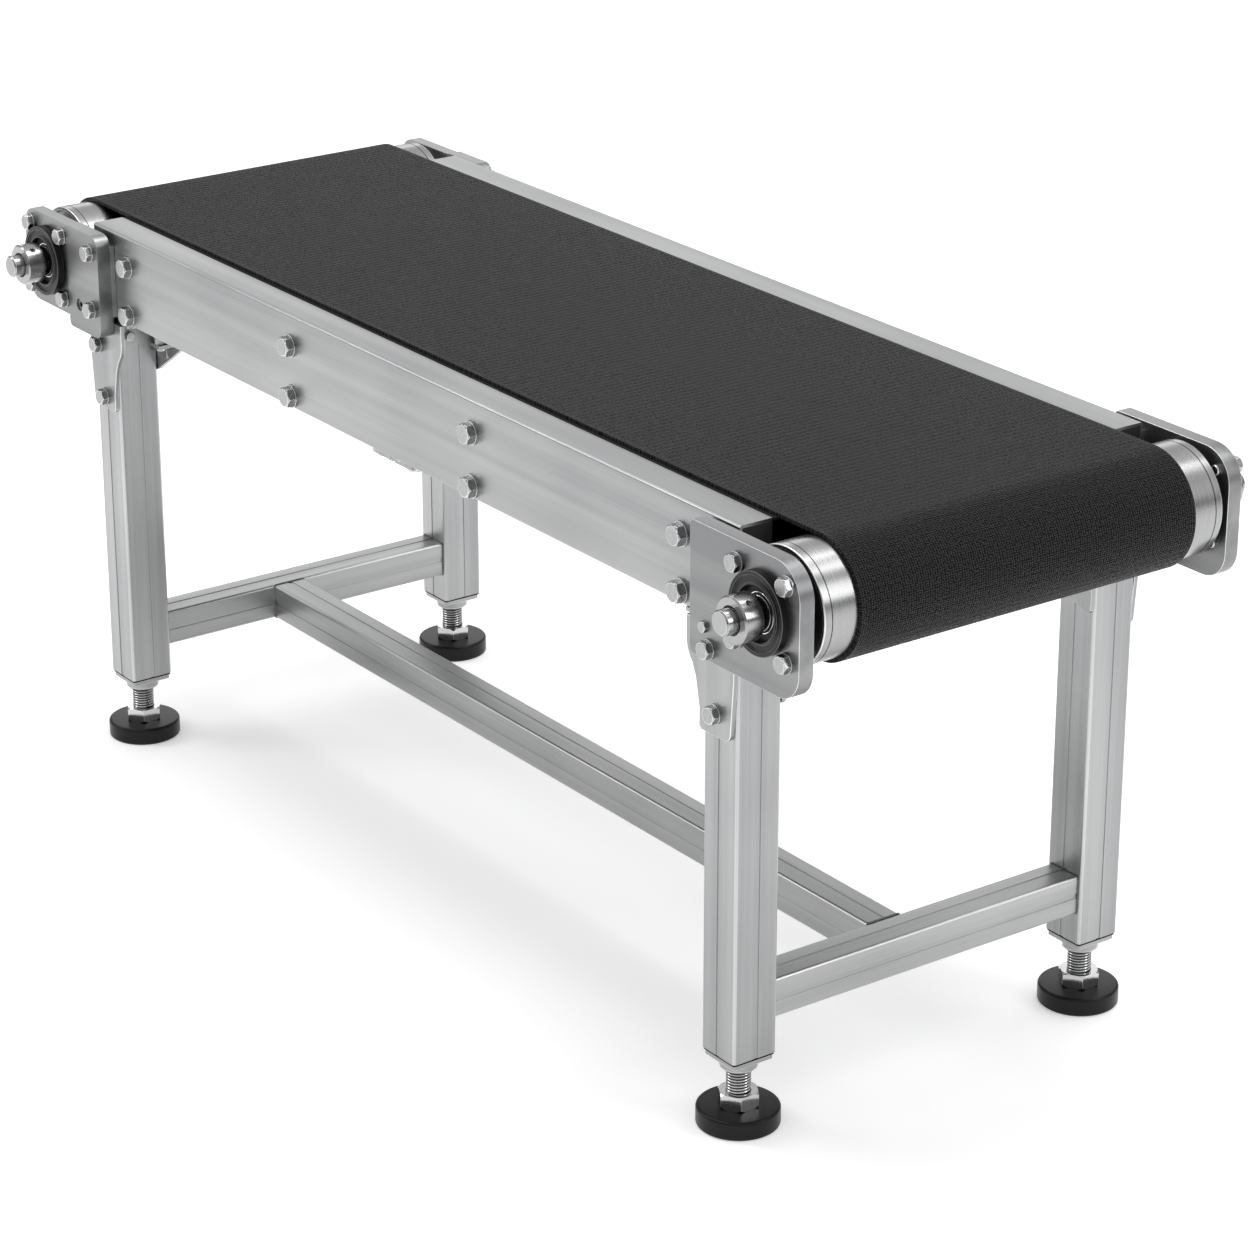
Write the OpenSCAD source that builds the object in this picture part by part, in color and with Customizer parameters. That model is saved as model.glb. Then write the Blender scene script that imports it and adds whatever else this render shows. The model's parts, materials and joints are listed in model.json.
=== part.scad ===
// Belt conveyor section: slider-bed belt conveyor on four welded legs with levelling feet.
// Millimetres, +Z up. X runs along the belt from the tail (-X) to the head (+X), Y across it.
// The origin is on the floor, under the middle of the frame.

/* [Frame] */
// Outside width over the two side rails
frame_w = 472; // [420:1:620]
// Half the spacing of the leg centres along X
leg_x = 560; // [500:5:700]
// Height of the top of the side rails above the floor
rail_top = 605; // [560:5:900]
// Height of a side rail
rail_h = 100; // [95:1:120]
// Sheet thickness of a side rail
rail_t = 3; // [2:0.5:4]
// Width of the inward flanges of a side rail
rail_lip = 36; // [30:1:40]

/* [Belt and drums] */
// Distance from the middle of the frame to the head drum's axis
head_x = 645; // [600:5:800]
// Distance from the middle of the frame to the tail drum's axis
tail_x = 645; // [600:5:800]
// Drum diameter
drum_d = 110; // [100:1:112]
// Wall thickness of a drum
drum_wall = 4; // [3:0.5:6]
// Belt thickness
belt_t = 4; // [2:0.5:5]
// Gap between the belt's edge and the lip of a side rail
belt_edge_gap = 5; // [3:1:20]
// Diameter of the return roller
return_d = 38; // [30:1:40]

/* [Shafts and bearings] */
// Shaft diameter
shaft_d = 25; // [20:1:30]
// Amount the shaft ends are turned down on the radius, outside the collars
shaft_relief = 0.5; // [0.2:0.1:1.5]
// Outside diameter of a bearing housing's lip
housing_d = 77; // [74:1:78]
// Spacing of the four bolts around a bearing
bearing_bolt_pitch = 71; // [71:1:74]
// Thickness of a bearing plate
plate_t = 16; // [12:1:20]
// Length of shaft that stands out past a locking collar
shaft_stub = 12; // [8:1:60]

/* [Legs] */
// Side of a square leg tube
leg_w = 50; // [45:1:60]
// Wall of the leg tubes and crossbars
leg_wall = 3; // [2:0.5:4]
// Side of the crossbar and stretcher tubes
bar_w = 40; // [30:1:45]
// Height of the top of the crossbars above the floor
bar_top = 148; // [140:1:300]
// Place of the stretcher across the frame, from its middle
stretcher_y = -25; // [-60:1:60]

/* [Levelling feet] */
// Diameter of a foot pad
pad_d = 80; // [60:1:100]
// Height of a foot pad
pad_h = 19; // [12:1:19]
// Stud diameter
stud_d = 24; // [16:1:24]
// Height of the leg tubes' lower ends above the floor
leg_z = 76; // [74:1:90]

/* [Clearances] */
// Radial clearance of a running or turning fit
run_fit = 0.06; // [0.03:0.01:0.1]
// Gap between parts that slide past each other
slide_gap = 0.3; // [0.2:0.05:0.5]
// Gap between the belt and a drum
belt_gap = 0.3; // [0.2:0.05:0.5]
// Travel of the tail take-up
take_up_travel = 10; // [5:1:12]

/* [Hidden] */
$fn = 64;
seat = 0.05;                                   // assembly gap of a fixed fit
web_y = frame_w / 2;                           // outer face of a side rail
web_in = web_y - rail_t;
lip_y = web_y - rail_lip;                      // free edge of a rail flange
rail_z = rail_top - rail_h;                    // underside of a side rail
drum_r = drum_d / 2;
drum_z = rail_top - 1 - drum_r;                // drum axis: the belt stands just above the rails
drum_half = web_y - 4;
belt_half = lip_y - belt_edge_gap;
bed_top = drum_z + drum_r + belt_gap;
bed_t = 3;
bed_half = lip_y - 3;
rail_head = head_x - drum_r - 5;               // head end of the rails
rail_tail = tail_x - drum_r - take_up_travel - 7;
shaft_r = shaft_d / 2;
shaft_chamfer = 1.5;

bracket_t = 5;
plate_y = web_y + bracket_t;                   // inner face of the head plates
tail_plate_y = plate_y + slide_gap;
head_plate_left = 104;                         // from the bearing towards the middle
plate_right = 52;
plate_over = 55;
plate_under = 71;
tail_plate_back = 51;
tail_step = 46;
tail_plate_front = 116;

housing_lip = 8;
housing_seat_d = 70;
race_d = 52;
race_w = 15;
inner_race_d = 33;
ball_d = 8.4;
ball_count = 8;
ball_ring = (race_d / 2 - 3.6 + inner_race_d / 2 + 1.6) / 2;
race_y = plate_t / 2 - race_w / 2;             // from a plate's inner face to a race
collar_d = 44;
collar_w = 20;
collar_y = plate_t + 14;                       // from a plate's inner face to the collar
shaft_half = plate_y + collar_y + collar_w + shaft_stub;

return_x = 0;
return_r = return_d / 2;
return_z = rail_z - 10;
return_axle_r = 5;
return_half = belt_half + 5;

leg_r = 4;
leg_y = web_y - leg_w / 2;
leg_in = web_y - leg_w;                        // inner face of the legs
notch_z = rail_z - 21;                         // the leg is cut back here to clear the belt
notch_y = lip_y - 1;
bar_z = bar_top - bar_w;
bar_wall = 2.5;
groove_w = 5;
groove_d = 0.6;

stations = [-500, -165, 165, 500];             // cross members and rail bolts along X
bolt_rise = 27;
rail_bolt_z = [rail_z + 13, rail_z + 13 + 2 * bolt_rise];
member_w = 40;
member_h = 16;
member_plate = 5;
member_plate_w = 44;

m12 = 12;
m10 = 10;
m6 = 6;
m12_af = 19;
m10_af = 16;
m6_af = 10;
washer_t = 2.5;
m12_washer = 24;
m10_washer = 19;
hole_gap = 0.5;                                // radial gap of a bolt in its hole

take_up_bolt = tail_plate_front - 16;          // from the tail bearing to the clamp bolts
take_up_rise = 32;
block_t = 20;
block_w = 24;
screw_y = web_in - 11;
screw_z = drum_z - 5;

bracket_low = rail_z - 107;
bracket_top = rail_z - 3;
head_bracket_bolts = [[-1, rail_z - 85], [10, rail_z - 15]];
tail_bracket_bolts = [[-4, rail_z - 93], [6, rail_z - 35]];
guss_t = 5;
guss_reach = 62;                               // length of a gusset beyond its leg
hanger_x = 46;                                 // from the leg's face to the hanger's post
angle_t = 4;
socket_w = 46;
socket_t = 5;
gasket_t = 2.2;
boss_h = 11;
boss_d = 36;
nut_h = 22;
hex_af = 36;
hex_h = 15;
stud_top = leg_z + 60;

steel = [0.72, 0.73, 0.74];
bright = [0.86, 0.87, 0.88];
black = [0.1, 0.1, 0.11];

// ---- placing helpers ----

// The children on the near side and mirrored on the far side
module each_side() {
    children();
    mirror([0, 1, 0]) children();
}

// The children turned so that their +Z points outwards on the near side
module outward() {
    rotate([90, 0, 0]) children();
}

// A disc or tube along Y, from y to y + w on the near side counted outwards
module ring(outer_r, inner_r, y, w) {
    translate([0, -y, 0]) outward() difference() {
        cylinder(r = outer_r, h = w);
        if (inner_r > 0) translate([0, 0, -1]) cylinder(r = inner_r, h = w + 2);
    }
}

// A hole across the plates: a cylinder along Y on the near side
module cross_hole(r, y, w) {
    translate([0, -y, 0]) outward() cylinder(r = r, h = w);
}

// An outline in the X-Z plane, made a plate from y outwards on the near side
module side_plate(y, t) {
    translate([0, -y, 0]) outward() linear_extrude(t) children();
}

// A rectangle with its own radius at each corner: lower left, lower right, upper right, upper left
module round_plate(x0, z0, x1, z1, r) {
    corners = [[x0 + r[0], z0 + r[0], 180], [x1 - r[1], z0 + r[1], 270],
               [x1 - r[2], z1 - r[2], 0], [x0 + r[3], z1 - r[3], 90]];
    polygon([for (i = [0:3]) for (a = [0:9:90])
        [corners[i][0] + r[i] * cos(corners[i][2] + a), corners[i][1] + r[i] * sin(corners[i][2] + a)]]);
}

// A square outline with round corners
module round_square(w, r) {
    round_plate(-w / 2, -w / 2, w / 2, w / 2, [r, r, r, r]);
}

// ---- fasteners ----

// A hex bolt along +Z: the shank lies below zero and the chamfered head above it
module hex_bolt(d, af, shank) {
    head = d * 0.66;
    translate([0, 0, -shank]) cylinder(d1 = d - 1.5, d2 = d, h = 1);
    translate([0, 0, 1 - shank]) cylinder(d = d, h = shank - 1 + head / 2);
    intersection() {
        cylinder(d = af / cos(30), h = head, $fn = 6);
        cylinder(r1 = af / 2 + head, r2 = af / 2 - 0.4, h = head);
    }
}

// A hex nut along +Z on a bolt of diameter d
module hex_nut(d, af) {
    h = d * 0.8;
    difference() {
        intersection() {
            cylinder(d = af / cos(30), h = h, $fn = 6);
            cylinder(r1 = af / 2 + h, r2 = af / 2 - 0.4, h = h);
        }
        translate([0, 0, -1]) cylinder(d = d + 2 * seat, h = h + 2);
    }
}

module washer(d, outer) {
    difference() {
        cylinder(d = outer, h = washer_t);
        translate([0, 0, -1]) cylinder(d = d + 2 * seat, h = washer_t + 2);
    }
}

// ---- frame ----

// A C-shaped rail, open inwards, with a round top edge
module rail_section() {
    difference() {
        round_plate(0, 0, rail_lip, rail_h, [3, 0.2, 0.2, 3]);
        translate([rail_t, rail_t]) square([rail_lip, rail_h - 2 * rail_t]);
    }
}

module side_rail() {
    color(steel) difference() {
        translate([-rail_tail, -web_y, rail_z]) rotate([90, 0, 90])
            linear_extrude(rail_tail + rail_head) rail_section();
        for (x = stations) for (z = rail_bolt_z)
            translate([x, 0, z]) cross_hole(m12 / 2 + hole_gap, web_in - 1, rail_t + 2);
        for (s = [-1, 1])
            translate([-tail_x + take_up_bolt, 0, drum_z + s * take_up_rise]) take_up_slot();
        for (s = [-1, 1]) translate([rail_head - 20, 0, rail_z + rail_h / 2 + s * 26])
            cross_hole(m10 / 2 + hole_gap, web_in - 1, rail_t + 2);
        for (s = [-1, 1]) hanger_places() hole_up(m6 / 2 + hole_gap);
        for (s = [-1, 1]) translate([return_x + 9 * s, -(web_in - 8), 0]) hole_up(m6 / 2 + hole_gap);
        leg_places() translate([-leg_w / 2 - 16, web_y - (web_in - 11), 0]) hole_up(m6 / 2 + hole_gap);
    }
    color(steel) take_up_lug();
}

module hole_up(r) {
    translate([0, 0, rail_z - 1]) cylinder(r = r, h = rail_t + 2);
}

module take_up_slot() {
    r = m10 / 2 + hole_gap;
    cross_hole(r, web_in - 1, rail_t + 2);
    translate([take_up_travel, 0, 0]) cross_hole(r, web_in - 1, rail_t + 2);
    translate([0, -web_in + 1, -r]) mirror([0, 1, 0]) cube([take_up_travel, rail_t + 2, 2 * r]);
}

// Welded lug inside the rail that holds the take-up screw
module take_up_lug() {
    difference() {
        translate([stations[0] + 32, -web_in, screw_z - 13]) cube([7, 22, 26]);
        translate([stations[0] + 31, -screw_y, screw_z]) rotate([0, 90, 0])
            cylinder(r = m10 / 2 + run_fit, h = 9);
    }
}

// The near side's two legs: X runs outwards from the middle of the frame in each
module leg_places() {
    translate([leg_x, -web_y, 0]) children();
    mirror([1, 0, 0]) translate([leg_x, -web_y, 0]) children();
}

module rail_end_caps() {
    cap_t = 3;
    cap_h = rail_h - 2 * rail_t - 2 * seat;
    color(black) each_side() for (x = [-rail_tail, rail_head - cap_t])
        translate([x, -web_in + seat, rail_z + rail_t + seat]) cube([cap_t, rail_lip - rail_t - seat, cap_h]);
}

module slider_bed() {
    color(steel) translate([-rail_tail, -bed_half, bed_top - bed_t])
        cube([rail_tail + rail_head, 2 * bed_half, bed_t]);
}

// Four cross members, each a flat tube under the bed with a bolted plate at each end
module cross_members() {
    top = bed_top - bed_t;
    low = rail_z + rail_t + 1;
    wall = 2.5;
    color(steel) for (x = stations) {
        difference() {
            translate([x - member_w / 2, -web_in + member_plate, top - member_h])
                cube([member_w, 2 * (web_in - member_plate), member_h]);
            translate([x - member_w / 2 + wall, -web_in, top - member_h + wall])
                cube([member_w - 2 * wall, 2 * web_in, member_h - 2 * wall]);
        }
        each_side() difference() {
            translate([x - member_plate_w / 2, -web_in, low]) cube([member_plate_w, member_plate, top - low]);
            for (z = rail_bolt_z)
                translate([x, 0, z]) cross_hole(m12 / 2 + hole_gap, web_in - member_plate - 1, member_plate + 2);
        }
    }
}

// ---- belt ----

// Where the return strand leaves a drum: the angle of the line that crosses between the drum
// and the return roller, for a drum at distance x and height z
function strand_tilt(x, z, r_sum) =
    atan2(z - return_z, x) + acos(r_sum / norm([x, z - return_z]));
function arc_points(x, z, r, from, to, count) =
    [for (i = [0:count]) let (a = from + (to - from) * i / count) [x + r * cos(a), z + r * sin(a)]];

// One loop of the belt: r is its radius on a drum and r_roll its radius over the return roller
function belt_loop(r, r_roll) =
    let (head = strand_tilt(head_x, drum_z, r + r_roll),
         tail = strand_tilt(tail_x, drum_z, r + r_roll))
    concat(arc_points(head_x, drum_z, r, 90, head - 180, 36),
           arc_points(return_x, return_z, r_roll, head, 180 - tail, 4),
           arc_points(-tail_x, drum_z - tail_ease, r + tail_ease, -tail, -270, 36));
tail_ease = 0.35;                              // slack of the belt under the tail drum

module belt() {
    inner = drum_r + belt_gap;
    under = return_r + slide_gap;
    color(black) translate([0, belt_half, 0]) rotate([90, 0, 0]) linear_extrude(2 * belt_half)
        difference() {
            polygon(belt_loop(inner + belt_t, under));
            polygon(belt_loop(inner, under + belt_t));
        }
}

// ---- bearing plates ----

module bearing_bolt_places() {
    h = bearing_bolt_pitch / 2;
    for (x = [-h, h]) for (z = [-h, h]) translate([x, 0, z]) children();
}

module bearing_bore(y) {
    cross_hole(housing_seat_d / 2 + seat, y - 1, plate_t + 2);
    bearing_bolt_places() cross_hole(m10 / 2 + seat, y - 1, plate_t + 2);
}

module head_plate() {
    color(steel) translate([head_x, 0, drum_z]) difference() {
        side_plate(plate_y, plate_t)
            round_plate(-head_plate_left, -plate_under, plate_right, plate_over, [6, 28, 34, 5]);
        bearing_bore(plate_y);
        translate([leg_x + head_bracket_bolts[1][0] - head_x, 0, head_bracket_bolts[1][1] - drum_z])
            cross_hole(m10 / 2 + seat, plate_y - 1, plate_t + 2);
        translate([lock_screw_x, 0, lock_screw_z])
            cross_hole(m6 / 2 + seat, plate_y + 4, plate_t);
        for (s = [-1, 1]) translate([rail_head - 20 - head_x, 0, rail_z + rail_h / 2 + s * 26 - drum_z])
            cross_hole(m10 / 2 + seat, plate_y - 1, plate_t - 4);
    }
}
lock_screw_x = leg_x + 3 - head_x;
lock_screw_z = rail_z + 4 - drum_z;

module head_plate_spacers() {
    color(steel) each_side() difference() {
        translate([rail_head - 38, -plate_y, rail_z + 8]) cube([35, bracket_t, rail_h - 18]);
        for (s = [-1, 1]) translate([rail_head - 20, 0, rail_z + rail_h / 2 + s * 26])
            cross_hole(m10 / 2 + hole_gap, web_y - 1, bracket_t + 2);
    }
}

module tail_plate() {
    color(steel) translate([-tail_x, 0, drum_z]) difference() {
        union() {
            side_plate(tail_plate_y, plate_t - 1.5)
                round_plate(-tail_plate_back, -52, tail_step + 10, 51, [26, 1, 1, 20]);
            side_plate(tail_plate_y, plate_t)
                round_plate(tail_step, -63, tail_plate_front, 52, [6, 12, 14, 2]);
        }
        bearing_bore(tail_plate_y);
        for (s = [-1, 1]) translate([take_up_bolt, 0, s * take_up_rise])
            cross_hole(m10 / 2 + seat, tail_plate_y - 1, plate_t + 2);
        translate([tail_step + 24, 0, -take_up_rise - 2]) {
            cross_hole(m6 / 2 + seat, tail_plate_y - 1, plate_t + 2);
            cross_hole(7, tail_plate_y + plate_t - 2, 3);
        }
    }
}

// ---- bearings: each module is one bearing on the near side, y is its plate's inner face ----

module housing(y) {
    color(black) difference() {
        union() {
            ring(housing_seat_d / 2, race_d / 2 + seat, y, plate_t);
            ring(housing_d / 2, race_d / 2 + seat, y + plate_t + seat, housing_lip);
            ring(housing_seat_d / 2, race_d / 2 + seat, y + plate_t - 1, 2);
        }
        ring(housing_d / 2 - 4, race_d / 2 + 2, y + plate_t + housing_lip - 2, 3);
    }
}

module outer_ring(y) {
    color(bright) translate([0, -(y + race_y), 0]) outward() difference() {
        cylinder(d = race_d, h = race_w);
        translate([0, 0, -1]) cylinder(r = race_d / 2 - 4, h = race_w + 2);
        translate([0, 0, race_w / 2]) ball_track();
    }
}

module ball_track() {
    rotate_extrude() translate([ball_ring, 0]) circle(d = ball_d + 2 * ball_gap, $fn = 32);
}
ball_gap = 0.1;

module inner_ring(y) {
    color(bright) difference() {
        ring(inner_race_d / 2, shaft_r + seat, y - 1, collar_y + 1 - seat);
        translate([0, -(y + race_y + race_w / 2), 0]) outward() ball_track();
    }
}

module seals(y) {
    color(black) for (face = [y + race_y - 3, y + race_y + race_w])
        ring(race_d / 2 - 0.5, inner_race_d / 2 + run_fit, face + seat, 2.5);
}

module balls(y) {
    color(bright) translate([0, -(y + race_y + race_w / 2), 0]) outward()
        for (i = [0:ball_count - 1]) rotate(i * 360 / ball_count)
            translate([ball_ring, 0, 0]) sphere(d = ball_d, $fn = 32);
}

// Locking collar with two set screws
module collar(y) {
    color(bright) difference() {
        translate([0, -(y + collar_y), 0]) outward() difference() {
            union() {
                cylinder(d = collar_d, h = collar_w - 1.5);
                translate([0, 0, collar_w - 1.5]) cylinder(d1 = collar_d, d2 = collar_d - 3, h = 1.5);
            }
            translate([0, 0, -1]) cylinder(r = shaft_r + seat, h = collar_w + 2);
        }
        collar_screw_places(y) cylinder(d = 6 + 2 * seat, h = 20);
    }
    color(black) collar_screw_places(y) difference() {
        translate([0, 0, 2 * seat]) cylinder(d = 6, h = 7);
        translate([0, 0, 4]) cylinder(d = 3 / cos(30), h = 5, $fn = 6);
    }
}

module collar_screw_places(y) {
    for (a = [35, 155]) translate([0, -(y + collar_y + collar_w / 2), 0]) rotate([0, a, 0])
        translate([0, 0, shaft_r]) children();
}

// ---- drums and shafts ----

module drum() {
    color(bright) difference() {
        translate([0, drum_half, 0]) outward() cylinder(r = drum_r, h = 2 * drum_half, $fn = 128);
        translate([0, drum_half + 1, 0]) outward()
            cylinder(r = drum_r - drum_wall, h = 2 * drum_half + 2, $fn = 128);
    }
}

module drum_discs() {
    color(steel) each_side() ring(drum_r - drum_wall - seat, shaft_r + seat, drum_half - 12, 8);
}

module shaft(y) {
    body = y + collar_y + collar_w;
    end_r = shaft_r - shaft_relief;
    color(bright) {
        translate([0, body, 0]) outward() cylinder(r = shaft_r, h = 2 * body);
        each_side() translate([0, -body, 0]) outward() {
            cylinder(r = end_r, h = shaft_stub - shaft_chamfer);
            translate([0, 0, shaft_stub - shaft_chamfer])
                cylinder(r1 = end_r, r2 = end_r - shaft_chamfer, h = shaft_chamfer);
        }
    }
}

module at_head() {
    translate([head_x, 0, drum_z]) children();
}

module at_tail() {
    translate([-tail_x, 0, drum_z]) children();
}

// ---- tail take-up ----

// A threaded block inside the rail and a slide pad outside it, on each side
module take_up_blocks() {
    cx = -tail_x + take_up_bolt;
    h = 2 * take_up_rise + 16;
    color(steel) each_side() difference() {
        union() {
            translate([cx - block_w / 2, -web_in + slide_gap, drum_z - h / 2]) cube([block_w, block_t, h]);
            translate([cx - block_w / 2 - 4, -tail_plate_y, drum_z - h / 2])
                cube([block_w + 8, tail_plate_y - web_y - slide_gap, h]);
        }
        for (s = [-1, 1]) translate([cx, 0, drum_z + s * take_up_rise]) {
            cross_hole(m10 / 2 + seat, web_in - block_t - 2, block_t + bracket_t + 12);
        }
        translate([cx - block_w, -screw_y, screw_z]) rotate([0, 90, 0])
            cylinder(r = m10 / 2 + run_fit, h = 2 * block_w);
    }
}

module take_up_screws() {
    lug_x = stations[0] + 39;
    reach = lug_x + tail_x - take_up_bolt + block_w / 2;
    color(bright) each_side() translate([lug_x, -screw_y, screw_z]) rotate([0, 90, 0])
        hex_bolt(m10, m10_af, reach);
}

module take_up_bolt_places() {
    at_tail() each_side() {
        bearing_bolt_places() translate([0, -tail_plate_y - plate_t + 1.5, 0]) outward() children(0);
        for (s = [-1, 1]) translate([take_up_bolt, -tail_plate_y - plate_t, s * take_up_rise])
            outward() children(1);
    }
}

module take_up_bolts() {
    color(bright) take_up_bolt_places() {
        translate([0, 0, washer_t]) hex_bolt(m10, m10_af, washer_t + plate_t + 2);
        translate([0, 0, washer_t]) hex_bolt(m10, m10_af, washer_t + plate_t + bracket_t + rail_t + 16);
    }
}

module take_up_washers() {
    color(bright) take_up_bolt_places() {
        washer(m10, m10_washer);
        washer(m10, m10_washer);
    }
}

// ---- legs ----

module grooved_tube(w, wall, r, length) {
    difference() {
        linear_extrude(length) round_square(w, r);
        translate([0, 0, -1]) linear_extrude(length + 2) round_square(w - 2 * wall, r - 1);
        for (a = [0:90:270]) rotate(a) translate([w / 2 - groove_d, -groove_w / 2, -1])
            cube([2, groove_w, length + 2]);
    }
}

// One leg: X runs outwards along the frame, the outer face is at y = 0
module leg(bolts, gusset_side) {
    difference() {
        translate([0, leg_w / 2, leg_z]) grooved_tube(leg_w, leg_wall, leg_r, rail_z - leg_z);
        translate([-leg_w, web_y - notch_y, notch_z]) cube([2 * leg_w, leg_w, rail_z]);
        for (b = bolts) translate([b[0], 0, b[1]]) cross_hole(m10 / 2 + hole_gap, -leg_wall - 1, leg_wall + 2);
        translate([guss_bolt[0], 0, guss_bolt[1]])
            cross_hole(m10 / 2 + hole_gap, -leg_w - 1, leg_wall + 2);
        translate([-leg_w / 2 - 1, angle_y, angle_z]) rotate([0, 90, 0])
            cylinder(d = m6 + 2 * seat, h = leg_wall + 2);
    }
}
guss_bolt = [11, rail_z - 42];
angle_y = web_y - web_in + 11;
angle_z = rail_z - 21;

module head_legs() {
    color(steel) each_side() translate([leg_x, -web_y, 0]) leg(head_bracket_bolts);
}

module tail_legs() {
    color(steel) each_side() mirror([1, 0, 0]) translate([leg_x, -web_y, 0]) leg(tail_bracket_bolts);
}

module crossbars() {
    color(steel) for (s = [-1, 1]) translate([s * leg_x, leg_in, bar_z + bar_w / 2]) rotate([90, 0, 0])
        grooved_tube(bar_w, bar_wall, 3, 2 * leg_in);
}

module stretcher() {
    half = leg_x - bar_w / 2;
    color(steel) translate([-half, stretcher_y, bar_z + bar_w / 2]) rotate([0, 90, 0])
        grooved_tube(bar_w, bar_wall, 3, 2 * half);
}

// Outer bracket of one leg: an ear towards the middle and a rounded foot
module bracket(bolts) {
    ear = leg_w / 2 + 20;
    outline = concat(
        [[leg_w / 2, bracket_top], [-ear, bracket_top], [-ear, bracket_top - 20]],
        arc_points(-ear + 30, bracket_top - 22, 30, 185, 225, 4),
        [[-leg_w / 2 - 6, bracket_top - 55], [-leg_w / 2, bracket_top - 84],
         [-leg_w / 2, bracket_low + 3], [-leg_w / 2 + 3, bracket_low]],
        arc_points(12, bracket_low + 9, 9, 270, 350, 4),
        [[leg_w / 2, bracket_low + 60]]);
    difference() {
        side_plate(0, bracket_t) polygon(outline);
        for (b = bolts) translate([b[0], 0, b[1]]) cross_hole(m10 / 2 + seat, -1, bracket_t + 2);
    }
}

module leg_brackets() {
    color(steel) each_side() {
        translate([leg_x, -web_y, 0]) bracket(head_bracket_bolts);
        mirror([1, 0, 0]) translate([leg_x, -web_y, 0]) bracket(tail_bracket_bolts);
    }
}

// Angle between the inner side of a leg and the underside of the rail
module leg_top_angles() {
    deep = rail_lip - 1;
    color(steel) each_side() leg_places() difference() {
        union() {
            translate([-leg_w / 2 - angle_t, 0, rail_z - 32]) cube([angle_t, deep, 32]);
            translate([-leg_w / 2 - 28, 0, rail_z - angle_t]) cube([28, deep, angle_t]);
        }
        translate([-leg_w / 2 - angle_t - 1, angle_y, angle_z]) rotate([0, 90, 0])
            cylinder(d = m6 + 2 * seat, h = angle_t + 2);
        translate([-leg_w / 2 - 16, angle_y, rail_z - angle_t - 1]) cylinder(d = m6 + 2 * seat, h = angle_t + 2);
    }
}

// Triangular plate on the inner face of a leg
module inner_gussets() {
    outline = [[leg_w / 2, notch_z], [-leg_w / 2 - guss_reach, notch_z], [-leg_w / 2 - guss_reach, notch_z - 4],
               [-leg_w / 2, notch_z - 46], [leg_w / 2 - 4, notch_z - 60], [leg_w / 2, notch_z - 56]];
    color(steel) each_side() leg_places() difference() {
        translate([0, leg_w + guss_t, 0]) side_plate(0, guss_t) polygon(outline);
        translate([guss_bolt[0], leg_w + guss_t, guss_bolt[1]]) cross_hole(m10 / 2 + seat, -1, guss_t + 2);
        translate([-leg_w / 2 - 18, leg_w + guss_t, notch_z - 14]) cross_hole(m6 / 2 + seat, -1, guss_t + 2);
    }
}

// Angle on the gusset's outer side, with a post up to the rail's lower flange
module gusset_hangers() {
    near = rail_lip - 14;
    color(steel) each_side() leg_places() difference() {
        union() {
            translate([-leg_w / 2 - guss_reach, leg_w - angle_t, notch_z - 26]) {
                translate([0, 0, 20]) cube([guss_reach - 8, angle_t, 6]);
                translate([34, 0, 0]) cube([20, angle_t, 24]);
            }
            translate([-leg_w / 2 - hanger_x - 10, near, notch_z - angle_t])
                cube([20, leg_w - near, angle_t]);
            translate([-leg_w / 2 - hanger_x, near + 7, notch_z - angle_t])
                cylinder(d = 13, h = rail_z - notch_z + angle_t);
        }
        translate([-leg_w / 2 - hanger_x, near + 7, notch_z - 5]) cylinder(d = m6 + 2 * seat, h = 40);
        translate([-leg_w / 2 - 18, leg_w, notch_z - 14]) cross_hole(m6 / 2 + seat, -1, angle_t + 2);
    }
}

module hanger_places() {
    leg_places() translate([-leg_w / 2 - hanger_x, rail_lip - 7, 0]) children();
}

// ---- levelling feet ----

module foot_places() {
    for (x = [leg_x, -leg_x]) for (y = [-leg_y, leg_y]) translate([x, y, 0]) children();
}

module foot_gaskets() {
    color(black) foot_places() translate([0, 0, leg_z - gasket_t]) linear_extrude(gasket_t) difference() {
        round_square(leg_w - 2, 3);
        circle(r = 15);
    }
}

// End plate with a boss below and a welded nut above, inside the tube
module foot_sockets() {
    plate_z = leg_z - gasket_t - socket_t;
    color(bright) foot_places() difference() {
        union() {
            translate([0, 0, plate_z]) linear_extrude(socket_t) round_square(socket_w, 3);
            translate([0, 0, plate_z - boss_h + 2]) cylinder(d = boss_d, h = boss_h - 2);
            translate([0, 0, plate_z - boss_h]) cylinder(d1 = boss_d - 4, d2 = boss_d, h = 2);
            translate([0, 0, plate_z + socket_t]) cylinder(d = 29, h = nut_h);
        }
        translate([0, 0, plate_z - boss_h - 1])
            cylinder(r = stud_d / 2 + run_fit, h = nut_h + socket_t + boss_h + 2);
    }
}

module foot_pad(i) {
    place = [[leg_x, -leg_y], [leg_x, leg_y], [-leg_x, -leg_y], [-leg_x, leg_y]][i - 1];
    edge = 3;
    outline = concat([[0, 0], [pad_d / 2 - 1.5, 0], [pad_d / 2, 1.5]],
        arc_points(pad_d / 2 - edge, pad_h - edge, edge, 0, 90, 6), [[0, pad_h]]);
    color(black) translate([place[0], place[1], 0]) difference() {
        rotate_extrude() polygon(outline);
        translate([0, 0, pad_h - 6]) cylinder(r = stud_d / 2 - 1 + seat, h = 7);
    }
}

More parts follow.
